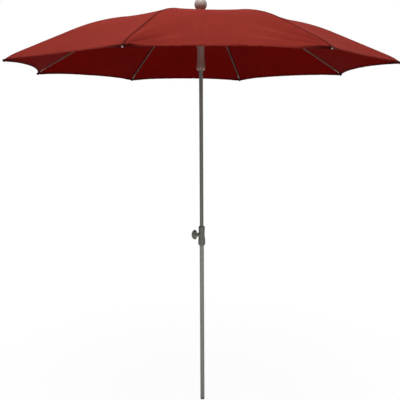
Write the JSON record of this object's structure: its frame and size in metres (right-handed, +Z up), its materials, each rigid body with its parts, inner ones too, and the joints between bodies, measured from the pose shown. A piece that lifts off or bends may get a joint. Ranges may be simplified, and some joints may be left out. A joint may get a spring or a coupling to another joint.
{
  "type": "patio umbrella",
  "caption": "Patio umbrella with a hinged-rib fabric canopy on a two-part pole: the runner opens and folds it, and a clamp collar with a round knob sets its height.",
  "frame": {"origin": "centre of the pole's foot, at the lower tube's bottom end", "axes": "+Z up along the pole; the clamp knob is on the -X side; the picture is taken from the -Y side"},
  "size_m": [1.7382, 1.7382, 2.042],
  "materials": {
    "pole_paint": "satin grey paint",
    "black_plastic": "moulded, matt",
    "clamp_plastic": "moulded, satin",
    "brass": "turned",
    "zinc_steel": "zinc plated",
    "dark_plastic": "moulded, matt",
    "spring_steel": "tempered strip",
    "ball_plastic": "moulded, satin",
    "runner_plastic": "moulded, satin",
    "rib_paint": "dark enamel",
    "tip_plastic": "moulded, glossy",
    "canopy_fabric": "plain woven, slightly translucent"
  },
  "bodies": {
    "lower_pole": {"lower_tube": "pole_paint", "foot_plug": "black_plastic", "clamp_collar": "clamp_plastic", "clamp_insert": "brass"},
    "clamp_pad": {"clamp_shoe": "black_plastic"},
    "clamp_handle": {"clamp_screw": "zinc_steel", "clamp_knob": "clamp_plastic"},
    "upper_pole": {"upper_tube": "pole_paint", "tube_guide": "black_plastic", "crown": "dark_plastic", "crown_pins": "zinc_steel", "catch_spring": "spring_steel", "canopy_patch": "canopy_fabric", "finial_stud": "zinc_steel", "finial_ball": "ball_plastic", "finial_collar": "ball_plastic"},
    "runner": {"runner_sleeve": "runner_plastic", "runner_hub": "dark_plastic"},
    "rib_arm_1": {"rib_1": "rib_paint", "rib_rivet_1": "zinc_steel", "tip_cap_1": "tip_plastic", "canopy_panel_1": "canopy_fabric"},
    "stretcher_arm_1": {"stretcher_1": "rib_paint"},
    "rib_arm_2": {"rib_2": "rib_paint", "rib_rivet_2": "zinc_steel", "tip_cap_2": "tip_plastic", "canopy_panel_2": "canopy_fabric"},
    "stretcher_arm_2": {"stretcher_2": "rib_paint"},
    "rib_arm_3": {"rib_3": "rib_paint", "rib_rivet_3": "zinc_steel", "tip_cap_3": "tip_plastic", "canopy_panel_3": "canopy_fabric"},
    "stretcher_arm_3": {"stretcher_3": "rib_paint"},
    "rib_arm_4": {"rib_4": "rib_paint", "rib_rivet_4": "zinc_steel", "tip_cap_4": "tip_plastic", "canopy_panel_4": "canopy_fabric"},
    "stretcher_arm_4": {"stretcher_4": "rib_paint"},
    "rib_arm_5": {"rib_5": "rib_paint", "rib_rivet_5": "zinc_steel", "tip_cap_5": "tip_plastic", "canopy_panel_5": "canopy_fabric"},
    "stretcher_arm_5": {"stretcher_5": "rib_paint"},
    "rib_arm_6": {"rib_6": "rib_paint", "rib_rivet_6": "zinc_steel", "tip_cap_6": "tip_plastic", "canopy_panel_6": "canopy_fabric"},
    "stretcher_arm_6": {"stretcher_6": "rib_paint"},
    "rib_arm_7": {"rib_7": "rib_paint", "rib_rivet_7": "zinc_steel", "tip_cap_7": "tip_plastic", "canopy_panel_7": "canopy_fabric"},
    "stretcher_arm_7": {"stretcher_7": "rib_paint"},
    "rib_arm_8": {"rib_8": "rib_paint", "rib_rivet_8": "zinc_steel", "tip_cap_8": "tip_plastic", "canopy_panel_8": "canopy_fabric"},
    "stretcher_arm_8": {"stretcher_8": "rib_paint"}
  },
  "joints": [
    {"name": "mast_slide", "type": "slide", "parent": "lower_pole", "child": "upper_pole", "axis": [0, 0, 1], "range_m": [-0.06, 0.2]},
    {"name": "knob_turn", "type": "hinge", "parent": "clamp_pad", "child": "clamp_handle", "pos_m": [-0.03, 0, 0.898], "axis": [-1, 0, 0], "range_deg": [0, 720]},
    {"name": "shoe_slide", "type": "slide", "parent": "lower_pole", "child": "clamp_pad", "axis": [-1, 0, 0], "range_m": [0, 0.0025]},
    {"name": "runner_slide", "type": "slide", "parent": "upper_pole", "child": "runner", "axis": [0, 0, -1], "range_m": [0, 0.6937], "deforming": ["catch_spring", "canopy_panel_1", "canopy_panel_2", "canopy_panel_3", "canopy_panel_4", "canopy_panel_5", "canopy_panel_6", "canopy_panel_7", "canopy_panel_8"]},
    {"name": "rib_hinge_1", "type": "hinge", "parent": "upper_pole", "child": "rib_arm_1", "pos_m": [0.01921, -0.00558, 1.9716], "axis": [0.279, 0.9603, 0], "range_deg": [0, 73.1]},
    {"name": "stretcher_hinge_1", "type": "hinge", "parent": "rib_arm_1", "child": "stretcher_arm_1", "pos_m": [0.41773, -0.12136, 1.91066], "axis": [-0.279, -0.9603, 0], "range_deg": [0, 145]},
    {"name": "rib_hinge_2", "type": "hinge", "parent": "upper_pole", "child": "rib_arm_2", "pos_m": [0.01753, 0.00964, 1.9716], "axis": [-0.4818, 0.8763, 0], "range_deg": [0, 73.1]},
    {"name": "stretcher_hinge_2", "type": "hinge", "parent": "rib_arm_2", "child": "stretcher_arm_2", "pos_m": [0.38119, 0.20956, 1.91066], "axis": [0.4818, -0.8763, 0], "range_deg": [0, 145]},
    {"name": "rib_hinge_3", "type": "hinge", "parent": "upper_pole", "child": "rib_arm_3", "pos_m": [0.00558, 0.01921, 1.9716], "axis": [-0.9603, 0.279, 0], "range_deg": [0, 73.1]},
    {"name": "stretcher_hinge_3", "type": "hinge", "parent": "rib_arm_3", "child": "stretcher_arm_3", "pos_m": [0.12136, 0.41773, 1.91066], "axis": [0.9603, -0.279, 0], "range_deg": [0, 145]},
    {"name": "rib_hinge_4", "type": "hinge", "parent": "upper_pole", "child": "rib_arm_4", "pos_m": [-0.00964, 0.01753, 1.9716], "axis": [-0.8763, -0.4818, 0], "range_deg": [0, 73.1]},
    {"name": "stretcher_hinge_4", "type": "hinge", "parent": "rib_arm_4", "child": "stretcher_arm_4", "pos_m": [-0.20956, 0.38119, 1.91066], "axis": [0.8763, 0.4818, 0], "range_deg": [0, 145]},
    {"name": "rib_hinge_5", "type": "hinge", "parent": "upper_pole", "child": "rib_arm_5", "pos_m": [-0.01921, 0.00558, 1.9716], "axis": [-0.279, -0.9603, 0], "range_deg": [0, 73.1]},
    {"name": "stretcher_hinge_5", "type": "hinge", "parent": "rib_arm_5", "child": "stretcher_arm_5", "pos_m": [-0.41773, 0.12136, 1.91066], "axis": [0.279, 0.9603, 0], "range_deg": [0, 145]},
    {"name": "rib_hinge_6", "type": "hinge", "parent": "upper_pole", "child": "rib_arm_6", "pos_m": [-0.01753, -0.00964, 1.9716], "axis": [0.4818, -0.8763, 0], "range_deg": [0, 73.1]},
    {"name": "stretcher_hinge_6", "type": "hinge", "parent": "rib_arm_6", "child": "stretcher_arm_6", "pos_m": [-0.38119, -0.20956, 1.91066], "axis": [-0.4818, 0.8763, 0], "range_deg": [0, 145]},
    {"name": "rib_hinge_7", "type": "hinge", "parent": "upper_pole", "child": "rib_arm_7", "pos_m": [-0.00558, -0.01921, 1.9716], "axis": [0.9603, -0.279, 0], "range_deg": [0, 73.1]},
    {"name": "stretcher_hinge_7", "type": "hinge", "parent": "rib_arm_7", "child": "stretcher_arm_7", "pos_m": [-0.12136, -0.41773, 1.91066], "axis": [-0.9603, 0.279, 0], "range_deg": [0, 145]},
    {"name": "rib_hinge_8", "type": "hinge", "parent": "upper_pole", "child": "rib_arm_8", "pos_m": [0.00964, -0.01753, 1.9716], "axis": [0.8763, 0.4818, 0], "range_deg": [0, 73.1]},
    {"name": "stretcher_hinge_8", "type": "hinge", "parent": "rib_arm_8", "child": "stretcher_arm_8", "pos_m": [0.20956, -0.38119, 1.91066], "axis": [-0.8763, -0.4818, 0], "range_deg": [0, 145]}
  ],
  "couplings": [
    {"joint": "shoe_slide", "follows": "knob_turn", "m_per_rad": 0.00019875},
    {"joint": "rib_hinge_1", "follows": "runner_slide", "rad_per_m": 1.8367},
    {"joint": "stretcher_hinge_1", "follows": "runner_slide", "rad_per_m": 3.6456},
    {"joint": "rib_hinge_2", "follows": "runner_slide", "rad_per_m": 1.8367},
    {"joint": "stretcher_hinge_2", "follows": "runner_slide", "rad_per_m": 3.6456},
    {"joint": "rib_hinge_3", "follows": "runner_slide", "rad_per_m": 1.8367},
    {"joint": "stretcher_hinge_3", "follows": "runner_slide", "rad_per_m": 3.6456},
    {"joint": "rib_hinge_4", "follows": "runner_slide", "rad_per_m": 1.8367},
    {"joint": "stretcher_hinge_4", "follows": "runner_slide", "rad_per_m": 3.6456},
    {"joint": "rib_hinge_5", "follows": "runner_slide", "rad_per_m": 1.8367},
    {"joint": "stretcher_hinge_5", "follows": "runner_slide", "rad_per_m": 3.6456},
    {"joint": "rib_hinge_6", "follows": "runner_slide", "rad_per_m": 1.8367},
    {"joint": "stretcher_hinge_6", "follows": "runner_slide", "rad_per_m": 3.6456},
    {"joint": "rib_hinge_7", "follows": "runner_slide", "rad_per_m": 1.8367},
    {"joint": "stretcher_hinge_7", "follows": "runner_slide", "rad_per_m": 3.6456},
    {"joint": "rib_hinge_8", "follows": "runner_slide", "rad_per_m": 1.8367},
    {"joint": "stretcher_hinge_8", "follows": "runner_slide", "rad_per_m": 3.6456}
  ]
}
